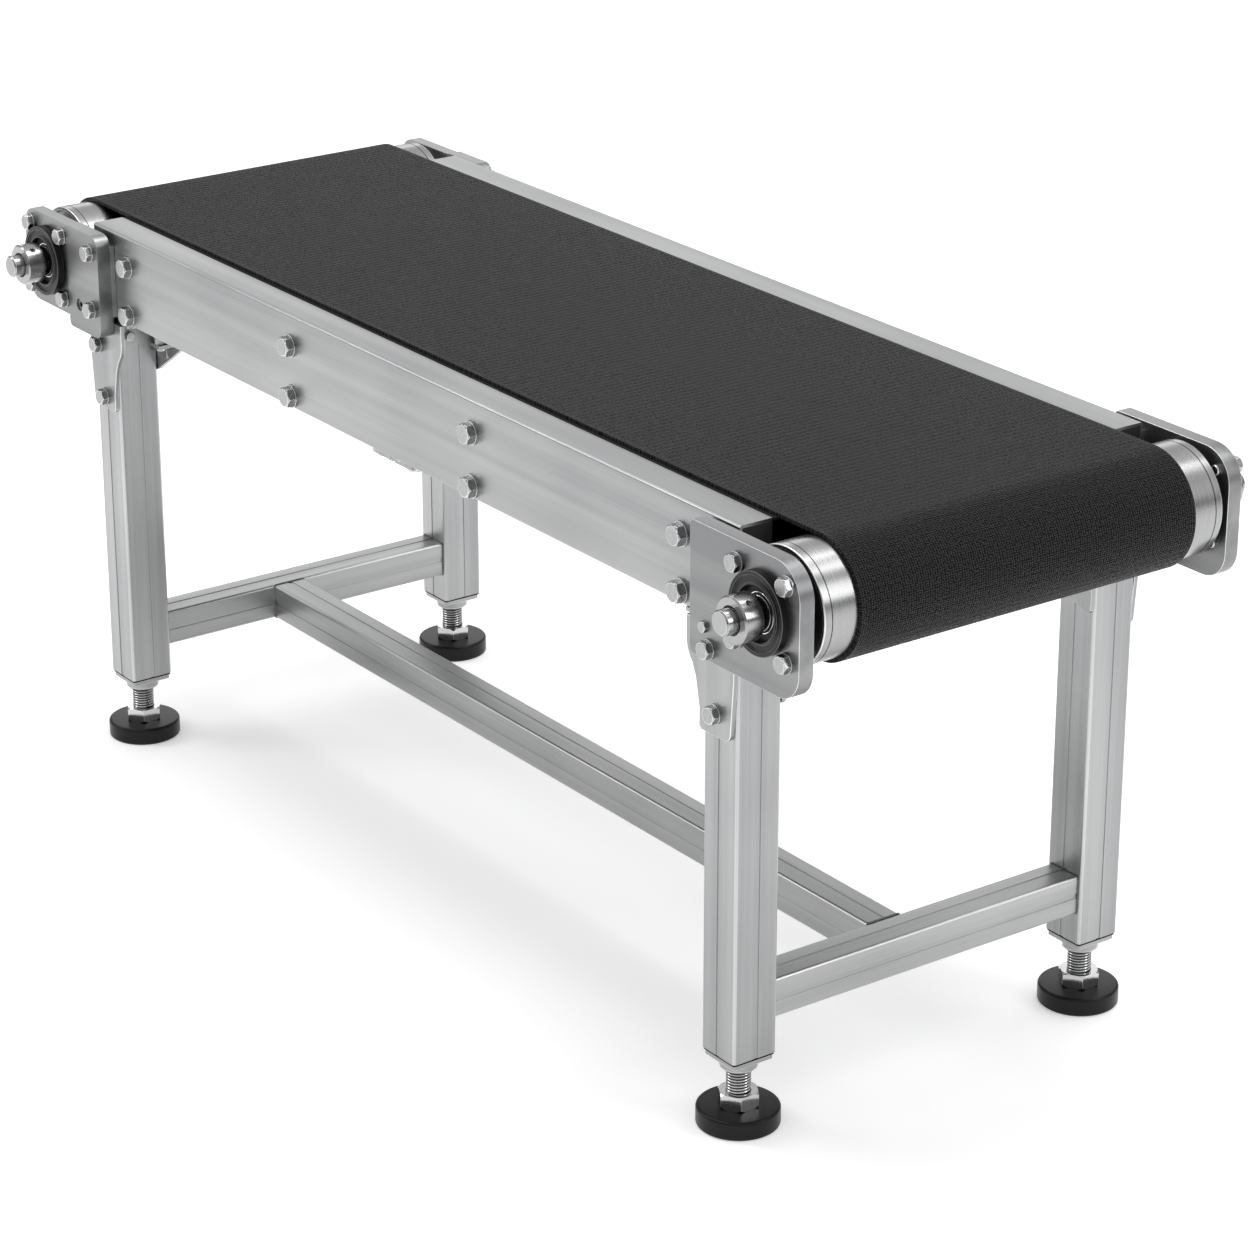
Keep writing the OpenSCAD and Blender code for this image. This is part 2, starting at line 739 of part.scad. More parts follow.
// Stud with its own hexagon, seated in the pad
module foot_stud(i) {
    place = [[leg_x, -leg_y], [leg_x, leg_y], [-leg_x, -leg_y], [-leg_x, leg_y]][i - 1];
    color(bright) translate([place[0], place[1], 0]) {
        translate([0, 0, pad_h - 6]) cylinder(r = stud_d / 2 - 1, h = 8);
        intersection() {
            translate([0, 0, pad_h]) rotate([0, 0, 30]) cylinder(d = hex_af / cos(30), h = hex_h, $fn = 6);
            translate([0, 0, pad_h]) cylinder(r1 = hex_af / 2 + 0.6, r2 = hex_af / 2 + 0.6 + hex_h, h = hex_h);
            translate([0, 0, pad_h]) cylinder(r1 = hex_af / 2 + 0.6 + hex_h, r2 = hex_af / 2 + 0.6, h = hex_h);
        }
        translate([0, 0, pad_h + hex_h - 1]) cylinder(d = stud_d, h = stud_top - pad_h - hex_h);
        translate([0, 0, stud_top - 1]) cylinder(d1 = stud_d, d2 = stud_d - 3, h = 1.5);
    }
}

// ---- return roller ----

module return_roller() {
    wall = 3;
    color(bright) translate([return_x, 0, return_z]) {
        translate([0, return_half, 0]) outward() difference() {
            cylinder(r = return_r, h = 2 * return_half);
            translate([0, 0, -1]) cylinder(r = return_r - wall, h = 2 * return_half + 2);
        }
        each_side() ring(return_r - wall - seat, return_axle_r + run_fit, return_half - 11, 10);
    }
}

module return_axle() {
    half = return_half + 14;
    color(steel) translate([return_x, half, return_z]) outward() cylinder(r = return_axle_r, h = 2 * half);
}

module return_brackets() {
    t = 4;
    inner = return_half + 5;
    color(steel) each_side() difference() {
        union() {
            translate([return_x - 15, -inner - t, rail_z - 21]) cube([30, t, 21]);
            translate([return_x - 15, -web_in - 1, rail_z - t]) cube([30, web_in + 1 - inner, t]);
        }
        translate([return_x, 0, return_z]) cross_hole(return_axle_r + seat, inner - 1, t + 2);
        for (s = [-1, 1]) translate([return_x + 9 * s, -(web_in - 8), rail_z - t - 1])
            cylinder(d = m6 + 2 * seat, h = t + 2);
    }
}

// ---- fastener groups of the frame ----

module rail_bolt_places() {
    each_side() for (x = stations) for (z = rail_bolt_z) translate([x, -web_y, z]) outward() children();
}

module rail_bolts() {
    grip = washer_t + rail_t + member_plate + m12 * 0.8 + 2;
    color(bright) rail_bolt_places() translate([0, 0, washer_t]) hex_bolt(m12, m12_af, grip);
}

module rail_washers() {
    color(bright) rail_bolt_places() washer(m12, m12_washer);
}

module head_bearing_bolt_places() {
    at_head() each_side() bearing_bolt_places() translate([0, -plate_y - plate_t, 0]) outward() children();
}

// Bolts of the leg brackets: child 0 where the head plate is in the stack, child 1 elsewhere
module bracket_bolt_places() {
    each_side() {
        translate([leg_x, -web_y, 0]) {
            translate([head_bracket_bolts[1][0], -bracket_t - plate_t, head_bracket_bolts[1][1]])
                outward() children(0);
            translate([head_bracket_bolts[0][0], -bracket_t, head_bracket_bolts[0][1]]) outward() children(1);
        }
        mirror([1, 0, 0]) translate([leg_x, -web_y, 0]) for (b = tail_bracket_bolts)
            translate([b[0], -bracket_t, b[1]]) outward() children(1);
    }
}

// Bolts that hold the head plate from inside the rail
module inside_bolt_places() {
    each_side() for (s = [-1, 1]) translate([rail_head - 20, -web_in, rail_z + rail_h / 2 + s * 26])
        rotate([-90, 0, 0]) children();
}

module gusset_bolt_places() {
    each_side() leg_places() translate([guss_bolt[0], leg_w + guss_t, guss_bolt[1]])
        rotate([-90, 0, 0]) children();
}

module plate_bolts() {
    stack = washer_t + bracket_t + leg_wall + m10 * 0.8 + 2;
    color(bright) {
        head_bearing_bolt_places() translate([0, 0, washer_t]) hex_bolt(m10, m10_af, washer_t + plate_t + 4);
        bracket_bolt_places() {
            translate([0, 0, washer_t]) hex_bolt(m10, m10_af, stack + plate_t);
            translate([0, 0, washer_t]) hex_bolt(m10, m10_af, stack);
        }
        inside_bolt_places() translate([0, 0, washer_t])
            hex_bolt(m10, m10_af, washer_t + rail_t + bracket_t + plate_t - 6);
        gusset_bolt_places() translate([0, 0, washer_t])
            hex_bolt(m10, m10_af, washer_t + guss_t + leg_wall + m10 * 0.8 + 2);
    }
}

module plate_washers() {
    color(bright) {
        head_bearing_bolt_places() washer(m10, m10_washer);
        bracket_bolt_places() {
            washer(m10, m10_washer);
            washer(m10, m10_washer);
        }
        inside_bolt_places() washer(m10, m10_washer);
        gusset_bolt_places() washer(m10, m10_washer);
    }
}

module frame_nuts() {
    color(bright) {
        rail_bolt_places() translate([0, 0, -rail_t - member_plate]) mirror([0, 0, 1]) hex_nut(m12, m12_af);
        bracket_bolt_places() {
            translate([0, 0, -plate_t - bracket_t - leg_wall]) mirror([0, 0, 1]) hex_nut(m10, m10_af);
            translate([0, 0, -bracket_t - leg_wall]) mirror([0, 0, 1]) hex_nut(m10, m10_af);
        }
        gusset_bolt_places() translate([0, 0, -guss_t - leg_wall]) mirror([0, 0, 1]) hex_nut(m10, m10_af);
    }
}

// M6 screws of the angles, hangers, return brackets and head plates
module small_screws() {
    color(bright) each_side() {
        leg_places() {
            translate([-leg_w / 2 - angle_t, angle_y, angle_z]) rotate([0, -90, 0])
                hex_bolt(m6, m6_af, angle_t + leg_wall + 3);
            translate([-leg_w / 2 - 16, angle_y, rail_z - angle_t]) mirror([0, 0, 1])
                hex_bolt(m6, m6_af, angle_t + rail_t + 4);
            translate([-leg_w / 2 - 18, leg_w + guss_t, notch_z - 14]) rotate([-90, 0, 0])
                hex_bolt(m6, m6_af, guss_t + angle_t + 3);
        }
        hanger_places() translate([0, 0, notch_z - angle_t]) mirror([0, 0, 1])
            hex_bolt(m6, m6_af, rail_z - notch_z + angle_t + rail_t + 4);
        for (s = [-1, 1]) translate([return_x + 9 * s, -(web_in - 8), rail_z - 4]) mirror([0, 0, 1])
            hex_bolt(m6, m6_af, rail_t + 8);
        translate([head_x + lock_screw_x, -plate_y - plate_t, drum_z + lock_screw_z]) outward()
            hex_bolt(m6, m6_af, 11);
    }
}

side_rail();  // side_rail_near
mirror([0, 1, 0]) side_rail();  // side_rail_far
rail_end_caps();
slider_bed();
cross_members();
belt();
head_plate();  // head_plate_near
mirror([0, 1, 0]) head_plate();  // head_plate_far
head_plate_spacers();
at_head() each_side() housing(plate_y);  // head_bearing_housings
at_head() each_side() outer_ring(plate_y);  // head_outer_rings
at_head() each_side() seals(plate_y);  // head_seals
head_legs();
tail_legs();
crossbars();
stretcher();
leg_brackets();
leg_top_angles();
inner_gussets();
gusset_hangers();
foot_gaskets();
foot_sockets();
return_brackets();
return_axle();
rail_bolts();
rail_washers();
plate_bolts();
plate_washers();
frame_nuts();
small_screws();
take_up_screws();
at_head() drum();  // head_drum
at_head() drum_discs();  // head_drum_discs
at_head() shaft(plate_y);  // head_shaft
at_head() each_side() inner_ring(plate_y);  // head_inner_rings
at_head() each_side() collar(plate_y);  // head_collars
at_head() each_side() balls(plate_y);  // head_balls
tail_plate();  // tail_plate_near
mirror([0, 1, 0]) tail_plate();  // tail_plate_far
at_tail() each_side() housing(tail_plate_y);  // tail_bearing_housings
at_tail() each_side() outer_ring(tail_plate_y);  // tail_outer_rings
at_tail() each_side() seals(tail_plate_y);  // tail_seals
take_up_blocks();
take_up_bolts();
take_up_washers();
at_tail() drum();  // tail_drum
at_tail() drum_discs();  // tail_drum_discs
at_tail() shaft(tail_plate_y);  // tail_shaft
at_tail() each_side() inner_ring(tail_plate_y);  // tail_inner_rings
at_tail() each_side() collar(tail_plate_y);  // tail_collars
at_tail() each_side() balls(tail_plate_y);  // tail_balls
return_roller();
foot_pad(1);  // foot_pad_1
foot_pad(2);  // foot_pad_2
foot_pad(3);  // foot_pad_3
foot_pad(4);  // foot_pad_4
foot_stud(1);  // foot_stud_1
foot_stud(2);  // foot_stud_2
foot_stud(3);  // foot_stud_3
foot_stud(4);  // foot_stud_4
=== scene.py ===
import json
import math

import bmesh
import bpy
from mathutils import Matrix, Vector

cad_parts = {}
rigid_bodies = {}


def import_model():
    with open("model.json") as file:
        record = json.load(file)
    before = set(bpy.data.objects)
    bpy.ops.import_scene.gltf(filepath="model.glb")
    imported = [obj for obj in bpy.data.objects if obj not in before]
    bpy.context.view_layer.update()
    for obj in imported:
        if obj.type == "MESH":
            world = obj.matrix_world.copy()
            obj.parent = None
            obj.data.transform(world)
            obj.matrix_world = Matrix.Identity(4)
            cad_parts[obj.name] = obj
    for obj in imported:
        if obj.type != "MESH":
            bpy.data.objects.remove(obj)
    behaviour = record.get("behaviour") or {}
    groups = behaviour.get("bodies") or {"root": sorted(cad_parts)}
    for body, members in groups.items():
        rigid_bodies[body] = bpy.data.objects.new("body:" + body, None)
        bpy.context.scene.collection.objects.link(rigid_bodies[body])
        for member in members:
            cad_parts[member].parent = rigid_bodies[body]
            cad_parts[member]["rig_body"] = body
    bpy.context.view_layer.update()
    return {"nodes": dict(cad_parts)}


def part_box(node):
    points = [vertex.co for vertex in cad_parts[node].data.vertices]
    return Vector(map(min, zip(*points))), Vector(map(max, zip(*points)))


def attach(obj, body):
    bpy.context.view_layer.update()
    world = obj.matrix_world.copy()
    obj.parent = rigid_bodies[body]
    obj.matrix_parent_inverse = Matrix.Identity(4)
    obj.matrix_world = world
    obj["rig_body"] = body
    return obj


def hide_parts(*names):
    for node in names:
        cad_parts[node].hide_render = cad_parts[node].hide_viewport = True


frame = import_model()


# Side rails: two long channels folded from 3 mm stainless sheet, flanges turned inward.
# The sheet is brushed along its length. Every cut edge is broken with a fine bevel, coloured a lighter
# steel than the faces: a painted highlight.
def brushed_stainless(name, grain, tone):
    finish = bpy.data.materials.new(name)
    finish.use_nodes = True
    nodes = finish.node_tree.nodes
    links = finish.node_tree.links
    shader = nodes["Principled BSDF"]
    shader.inputs["Metallic"].default_value = 1.0
    where = nodes.new("ShaderNodeTexCoord")
    stretch = nodes.new("ShaderNodeMapping")
    stretch.inputs["Scale"].default_value = [7 if axis == grain else 900 for axis in "xyz"]
    links.new(where.outputs["Object"], stretch.inputs["Vector"])
    lines = nodes.new("ShaderNodeTexNoise")
    lines.inputs["Scale"].default_value = 1.0
    lines.inputs["Detail"].default_value = 4.0
    lines.inputs["Roughness"].default_value = 0.6
    links.new(stretch.outputs["Vector"], lines.inputs["Vector"])
    clouds = nodes.new("ShaderNodeTexNoise")
    clouds.inputs["Scale"].default_value = 4.0
    clouds.inputs["Detail"].default_value = 2.0
    links.new(where.outputs["Object"], clouds.inputs["Vector"])
    roll = nodes.new("ShaderNodeMapping")
    roll.inputs["Scale"].default_value = [0.8 if axis == grain else 42 for axis in "xyz"]
    links.new(where.outputs["Object"], roll.inputs["Vector"])
    bands = nodes.new("ShaderNodeTexNoise")
    bands.inputs["Scale"].default_value = 1.0
    bands.inputs["Detail"].default_value = 2.0
    links.new(roll.outputs["Vector"], bands.inputs["Vector"])
    soft = nodes.new("ShaderNodeMath")
    soft.operation = "MULTIPLY_ADD"
    soft.inputs[1].default_value = 0.7
    links.new(clouds.outputs["Fac"], soft.inputs[0])
    links.new(bands.outputs["Fac"], soft.inputs[2])
    together = nodes.new("ShaderNodeMath")
    together.operation = "MULTIPLY_ADD"
    together.inputs[1].default_value = 0.6
    links.new(lines.outputs["Fac"], together.inputs[0])
    links.new(soft.outputs["Value"], together.inputs[2])
    spread = nodes.new("ShaderNodeMapRange")
    spread.inputs["From Min"].default_value = 0.9
    spread.inputs["From Max"].default_value = 1.4
    links.new(together.outputs["Value"], spread.inputs["Value"])
    colour = nodes.new("ShaderNodeValToRGB")
    colour.color_ramp.elements[0].color = (tone * 0.8, tone * 0.807, tone * 0.82, 1)
    colour.color_ramp.elements[1].color = (tone * 1.16, tone * 1.165, tone * 1.17, 1)
    links.new(spread.outputs["Result"], colour.inputs["Fac"])
    links.new(colour.outputs["Color"], shader.inputs["Base Color"])
    rough = nodes.new("ShaderNodeMapRange")
    rough.inputs["From Min"].default_value = 0.3
    rough.inputs["From Max"].default_value = 0.7
    rough.inputs["To Min"].default_value = 0.3
    rough.inputs["To Max"].default_value = 0.44
    links.new(lines.outputs["Fac"], rough.inputs["Value"])
    links.new(rough.outputs["Result"], shader.inputs["Roughness"])
    bump = nodes.new("ShaderNodeBump")
    bump.inputs["Strength"].default_value = 0.12
    bump.inputs["Distance"].default_value = 0.0002
    links.new(lines.outputs["Fac"], bump.inputs["Height"])
    links.new(bump.outputs["Normal"], shader.inputs["Normal"])
    return finish


# The bevel steel is lighter than any face: a painted highlight along every broken edge.
edge_highlight_steel = brushed_stainless("steel_bright_edge", "x", 0.78)


def machined_copy(node, name, edge, finish, rim=edge_highlight_steel):
    """The CAD node's own shape with its sharp edges broken by a small bevel, which takes the rim colour;
    the default rim, a lighter steel, is a painted highlight.
    """
    mesh = bpy.data.meshes.new(name)
    shape = bmesh.new()
    shape.from_mesh(frame["nodes"][node].data)
    bmesh.ops.remove_doubles(shape, verts=shape.verts, dist=2e-6)
    bmesh.ops.dissolve_limit(shape, angle_limit=math.radians(0.6), verts=shape.verts, edges=shape.edges)
    for face in shape.faces:
        face.smooth = True
    shape.to_mesh(mesh)
    shape.free()
    if "custom_normal" in mesh.attributes:
        mesh.attributes.remove(mesh.attributes["custom_normal"])
    mesh.materials.clear()
    mesh.materials.append(finish)
    mesh.materials.append(rim)
    for face in mesh.polygons:
        face.material_index = 0
    piece = bpy.data.objects.new(name, mesh)
    bpy.context.scene.collection.objects.link(piece)
    bevel = piece.modifiers.new("broken_edges", "BEVEL")
    bevel.width = edge
    bevel.segments = 2
    bevel.limit_method = "ANGLE"
    bevel.angle_limit = math.radians(32)
    bevel.harden_normals = True
    bevel.material = 1
    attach(piece, frame["nodes"][node]["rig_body"])
    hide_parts(node)
    return piece


def paint_corner_highlights(piece):
    """Colours a tube's or a fold's round corners a lighter steel, a painted highlight."""
    for face in piece.data.polygons:
        if max(abs(way) for way in face.normal) < 0.97:
            face.material_index = 1


steel_along_x = brushed_stainless("steel_brushed_lengthways", "x", 0.345)
# The corner steel, lighter than the faces, is a painted highlight on the rails' round folds and bevels.
corner_highlight_along_x = brushed_stainless("corner_highlight_lengthways", "x", 0.5)
for side in ("near", "far"):
    rail = machined_copy("side_rail_" + side, "rail_" + side, 0.0009, steel_along_x,
                         corner_highlight_along_x)
    paint_corner_highlights(rail)


# Rail end caps: flat plates welded inside the ends of the rails to close the channels.
# They are coloured near black, which is a guess: only their edges show under the top flange.
def dark_grained(name, tone, roughness):
    finish = bpy.data.materials.new(name)
    finish.use_nodes = True
    nodes = finish.node_tree.nodes
    links = finish.node_tree.links
    shader = nodes["Principled BSDF"]
    shader.inputs["Specular IOR Level"].default_value = 0.22
    where = nodes.new("ShaderNodeTexCoord")
    grain = nodes.new("ShaderNodeTexNoise")
    grain.inputs["Scale"].default_value = 900.0
    grain.inputs["Detail"].default_value = 3.0
    links.new(where.outputs["Object"], grain.inputs["Vector"])
    colour = nodes.new("ShaderNodeValToRGB")
    colour.color_ramp.elements[0].position = 0.3
    colour.color_ramp.elements[0].color = (tone * 0.8, tone * 0.8, tone * 0.82, 1)
    colour.color_ramp.elements[1].position = 0.75
    colour.color_ramp.elements[1].color = (tone * 1.25, tone * 1.25, tone * 1.25, 1)
    links.new(grain.outputs["Fac"], colour.inputs["Fac"])
    links.new(colour.outputs["Color"], shader.inputs["Base Color"])
    rough = nodes.new("ShaderNodeMapRange")
    rough.inputs["To Min"].default_value = roughness - 0.08
    rough.inputs["To Max"].default_value = roughness + 0.08
    links.new(grain.outputs["Fac"], rough.inputs["Value"])
    links.new(rough.outputs["Result"], shader.inputs["Roughness"])
    bump = nodes.new("ShaderNodeBump")
    bump.inputs["Strength"].default_value = 0.15
    bump.inputs["Distance"].default_value = 0.0002
    links.new(grain.outputs["Fac"], bump.inputs["Height"])
    links.new(bump.outputs["Normal"], shader.inputs["Normal"])
    return finish


cap_near_black = dark_grained("cap_near_black", 0.03, 0.5)
machined_copy("rail_end_caps", "end_caps", 0.0005, cap_near_black, cap_near_black)


# Cross members: short square tubes between the rails, with a plate on each end for the bolts.
# Plain stainless tube, brushed across the machine.
steel_along_y = brushed_stainless("steel_brushed_crossways", "y", 0.38)
machined_copy("cross_members", "cross_tubes", 0.0006, steel_along_y)


# Slider bed: one flat sheet that lies on the cross members and carries the belt's top run.
# It is a guessed piece. Its near-black colour is painted shade for the dark gap beside the belt, and keeps
# its edge from shining there.
bed_painted_shade = dark_grained("bed_painted_shade", 0.018, 0.55)
machined_copy("slider_bed", "bed_sheet", 0.0004, bed_painted_shade, bed_painted_shade)


# Legs: four square stainless tubes with rounded corners and a shallow groove down each face.
# Each is welded under its rail corner and brushed from top to bottom.
steel_upright = brushed_stainless("steel_brushed_upright", "z", 0.39)
# The corner steel, lighter than the faces, is a painted highlight on the legs' round corners.
corner_highlight_upright = brushed_stainless("corner_highlight_upright_steel", "z", 0.56)
for end in ("head", "tail"):
    legs = machined_copy(end + "_legs", "legs_%s_end" % end, 0.0003, steel_upright,
                         corner_highlight_upright)
    legs.modifiers["broken_edges"].material = 0
    paint_corner_highlights(legs)


# Crossbars and stretcher: a square tube between the two legs at each end, and one long tube
# that joins the two crossbars low down, all from the same grooved stainless tube.
# The corner steel, lighter than the faces, is a painted highlight on the tubes' round corners.
corner_highlight_along_y = brushed_stainless("corner_highlight_crossways", "y", 0.62)
for node, name, finish, corner in (
    ("crossbars", "leg_crossbars", steel_along_y, corner_highlight_along_y),
    ("stretcher", "long_stretcher", steel_along_x, corner_highlight_along_x),
):
    tube = machined_copy(node, name, 0.0003, finish, corner)
    tube.modifiers["broken_edges"].material = 0
    paint_corner_highlights(tube)


# Weld beads: the crossbars are welded to the legs and the stretcher to the crossbars with one
# small bead right round each tube, a little darker and duller than the brushed faces.
weld_metal = brushed_stainless("weld_metal", "x", 0.16)


def weld_bead(name, centre, side, across, up, half, corner, radius):
    """A bead round a square tube's end, with the small ripples a welder leaves."""
    centre = Vector(centre)
    across = Vector(across)
    up = Vector(up)
    path = []
    for quarter in range(4):
        turn = quarter * math.pi / 2
        middle = (
            (half - corner) * (1, -1, -1, 1)[quarter],
            (half - corner) * (1, 1, -1, -1)[quarter],
        )
        for step in range(7):
            a = turn + step / 6 * math.pi / 2
            path.append((middle[0] + corner * math.cos(a), middle[1] + corner * math.sin(a), a))
        reach = 2 * (half - corner)
        ahead = (-math.sin(turn + math.pi / 2), math.cos(turn + math.pi / 2))
        last = path[-1]
        for step in range(1, 30):
            run = reach * step / 30
            path.append((last[0] + ahead[0] * run, last[1] + ahead[1] * run, turn + math.pi / 2))
    bead = bmesh.new()
    rings = []
    for place, (u, v, a) in enumerate(path):
        ripple = radius * (1 + 0.16 * math.sin(place * 2.1) + 0.07 * math.sin(place * 0.7))
        out = across * math.cos(a) + up * math.sin(a)
        middle = centre + across * u + up * v
        ring = []
        for step in range(8):
            b = step / 8 * 2 * math.pi
            ring.append(bead.verts.new(middle + (out * math.cos(b) + Vector(side) * math.sin(b)) * ripple))
        rings.append(ring)
    for place in range(len(rings)):
        ring, following = rings[place], rings[(place + 1) % len(rings)]
        for step in range(8):
            after = (step + 1) % 8
            bead.faces.new((ring[step], ring[after], following[after], following[step])).smooth = True
    bmesh.ops.recalc_face_normals(bead, faces=bead.faces)
    mesh = bpy.data.meshes.new(name)
    bead.to_mesh(mesh)
    bead.free()
    mesh.materials.append(weld_metal)
    piece = bpy.data.objects.new(name, mesh)
    bpy.context.scene.collection.objects.link(piece)
    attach(piece, "root")


tube_corner = 0.003
bead_radius = 0.0012
bar_low, bar_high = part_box("crossbars")
bar_half = (bar_high.z - bar_low.z) / 2
bar_mid = (bar_high.z + bar_low.z) / 2
for end, x in (("head", bar_high.x - bar_half), ("tail", bar_low.x + bar_half)):
    for side, y in (("near", bar_low.y), ("far", bar_high.y)):
        weld_bead("weld_%s_%s" % (end, side), (x, y, bar_mid), (0, 1, 0), (1, 0, 0), (0, 0, 1),
                  bar_half, tube_corner, bead_radius)
long_low, long_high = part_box("stretcher")
long_mid = (long_low.y + long_high.y) / 2
for end, x in (("head", long_high.x), ("tail", long_low.x)):
    weld_bead("weld_stretcher_" + end, (x, long_mid, bar_mid), (1, 0, 0), (0, 1, 0), (0, 0, 1),
              bar_half, tube_corner, bead_radius)


# Leg brackets, angles and gussets: 5 mm plates laser-cut from stainless and bolted on, a flat
# one over each outer joint of leg and rail, an angle inside it, and a gusset on the inner face.
plate_upright = brushed_stainless("plate_brushed_upright", "z", 0.36)
machined_copy("leg_brackets", "outer_brackets", 0.0009, plate_upright)
machined_copy("leg_top_angles", "inner_angles", 0.0006, plate_upright)
machined_copy("inner_gussets", "leg_gussets", 0.0006, plate_upright)
machined_copy("gusset_hangers", "gusset_posts", 0.0005, plate_upright)


# Levelling feet: a moulded black disc with a socket for the stud, and an M24 stud with a hex
# above the disc. The stud screws into a threaded boss on a plate that closes the leg's end.
def moulded_plastic(name, tone, roughness):
    finish = dark_grained(name, tone, roughness)
    shader = finish.node_tree.nodes["Principled BSDF"]
    shader.inputs["Coat Weight"].default_value = 0.06
    shader.inputs["Coat Roughness"].default_value = 0.3
    return finish


pad_plastic = moulded_plastic("pad_plastic", 0.004, 0.34)
# The rim colour, lighter than the pad, is a painted highlight round the pad's bevelled edge.
pad_rim = moulded_plastic("pad_rim", 0.012, 0.3)


def turned_bright(name, tone, roughness, axis):
    """Bright steel off the lathe, with the fine rings that the tool leaves round the axis."""
    finish = bpy.data.materials.new(name)
    finish.use_nodes = True
    nodes = finish.node_tree.nodes
    links = finish.node_tree.links
    shader = nodes["Principled BSDF"]
    shader.inputs["Metallic"].default_value = 1.0
    where = nodes.new("ShaderNodeTexCoord")
    stretch = nodes.new("ShaderNodeMapping")
    stretch.inputs["Scale"].default_value = [1400 if way == axis else 8 for way in "xyz"]
    links.new(where.outputs["Object"], stretch.inputs["Vector"])
    rings = nodes.new("ShaderNodeTexNoise")
    rings.inputs["Scale"].default_value = 1.0
    rings.inputs["Detail"].default_value = 3.0
    links.new(stretch.outputs["Vector"], rings.inputs["Vector"])
    colour = nodes.new("ShaderNodeValToRGB")
    colour.color_ramp.elements[0].position = 0.3
    colour.color_ramp.elements[0].color = (tone * 0.9, tone * 0.905, tone * 0.915, 1)
    colour.color_ramp.elements[1].position = 0.7
    colour.color_ramp.elements[1].color = (tone * 1.06, tone * 1.06, tone * 1.065, 1)
    links.new(rings.outputs["Fac"], colour.inputs["Fac"])
    links.new(colour.outputs["Color"], shader.inputs["Base Color"])
    rough = nodes.new("ShaderNodeMapRange")
    rough.inputs["To Min"].default_value = roughness - 0.05
    rough.inputs["To Max"].default_value = roughness + 0.07
    links.new(rings.outputs["Fac"], rough.inputs["Value"])
    links.new(rough.outputs["Result"], shader.inputs["Roughness"])
    bump = nodes.new("ShaderNodeBump")
    bump.inputs["Strength"].default_value = 0.05
    bump.inputs["Distance"].default_value = 0.0001
    links.new(rings.outputs["Fac"], bump.inputs["Height"])
    links.new(bump.outputs["Normal"], shader.inputs["Normal"])
    return finish


stud_steel = turned_bright("stud_steel", 0.62, 0.13, "z")
stud_steel.node_tree.nodes["Bump"].inputs["Strength"].default_value = 0.01
# The root colour, near black, is painted shade in the thread's roots.
thread_root = turned_bright("thread_root", 0.05, 0.4, "z")
thread_pitch = 0.003
thread_depth = 0.0017


def thread(name, x, y, low, high, radius):
    """The visible length of a coarse thread, cut as a true helix."""
    around, per_turn = 48, 6
    profile = (0.0, 0.0, 0.45, 1.0, 1.0, 0.45)
    rows = int((high - low) / thread_pitch * per_turn) + per_turn + 1
    cut = bmesh.new()
    grid = []
    for row in range(rows):
        ring = []
        for step in range(around):
            turn = step / around
            height = low + (row - per_turn) * thread_pitch / per_turn + turn * thread_pitch
            r = radius - thread_depth * (1 - profile[row % per_turn])
            height = min(max(height, low), high)
            a = 2 * math.pi * turn
            ring.append(cut.verts.new((x + r * math.cos(a), y + r * math.sin(a), height)))
        grid.append(ring)
    for row in range(rows - 1):
        for step in range(around - 1):
            corners = (grid[row][step], grid[row][step + 1], grid[row + 1][step + 1], grid[row + 1][step])
            cut.faces.new(corners)
    for row in range(rows - 1 - per_turn):
        last, first = grid[row], grid[row + per_turn]
        cut.faces.new((last[-1], first[0], grid[row + per_turn + 1][0], grid[row + 1][-1]))
    for face in cut.faces:
        face.smooth = True
    bmesh.ops.recalc_face_normals(cut, faces=cut.faces)
    mesh = bpy.data.meshes.new(name)
    cut.to_mesh(mesh)
    cut.free()
    mesh.materials.append(stud_steel)
    mesh.materials.append(thread_root)
    # Faces down in the roots take the near-black colour: painted shade.
    for face in mesh.polygons:
        if math.hypot(face.center.x - x, face.center.y - y) < radius - thread_depth * 0.6:
            face.material_index = 1
    piece = bpy.data.objects.new(name, mesh)
    bpy.context.scene.collection.objects.link(piece)
    return piece


stud_radius = 0.012
for number in (1, 2, 3, 4):
    machined_copy("foot_pad_%d" % number, "pad_%d" % number, 0.0008, pad_plastic, pad_rim)
    stud = machined_copy("foot_stud_%d" % number, "stud_%d" % number, 0.0005, stud_steel)
    low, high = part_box("foot_stud_%d" % number)
    x, y = (low.x + high.x) / 2, (low.y + high.y) / 2
    for corner in stud.data.vertices:
        reach = math.hypot(corner.co.x - x, corner.co.y - y)
        if 0.009 < reach < stud_radius + 0.0002 and corner.co.z > 0.0335:
            shrink = (stud_radius - thread_depth - 0.0002) / reach
            corner.co.x = x + (corner.co.x - x) * shrink
            corner.co.y = y + (corner.co.y - y) * shrink
    screw = thread("thread_%d" % number, x, y, 0.034, 0.072, stud_radius)
    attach(screw, "foot_%d" % number)

boss_steel = turned_bright("boss_steel", 0.36, 0.2, "z")
boss_steel.node_tree.nodes["Bump"].inputs["Strength"].default_value = 0.01
machined_copy("foot_sockets", "leg_end_plates", 0.0006, boss_steel)
gasket_rubber = dark_grained("gasket_rubber", 0.001, 0.8)
machined_copy("foot_gaskets", "leg_end_gaskets", 0.0002, gasket_rubber, gasket_rubber)


# Return roller: a thin zinc-plated tube on a fixed axle that lifts the belt's lower run clear
# of the frame. Two small brackets hold the axle under the rails.
roller_zinc = turned_bright("roller_zinc", 0.55, 0.3, "y")
machined_copy("return_roller", "lift_roller", 0.0008, roller_zinc)
machined_copy("return_axle", "lift_axle", 0.0004, roller_zinc)
machined_copy("return_brackets", "lift_brackets", 0.0006, plate_upright)


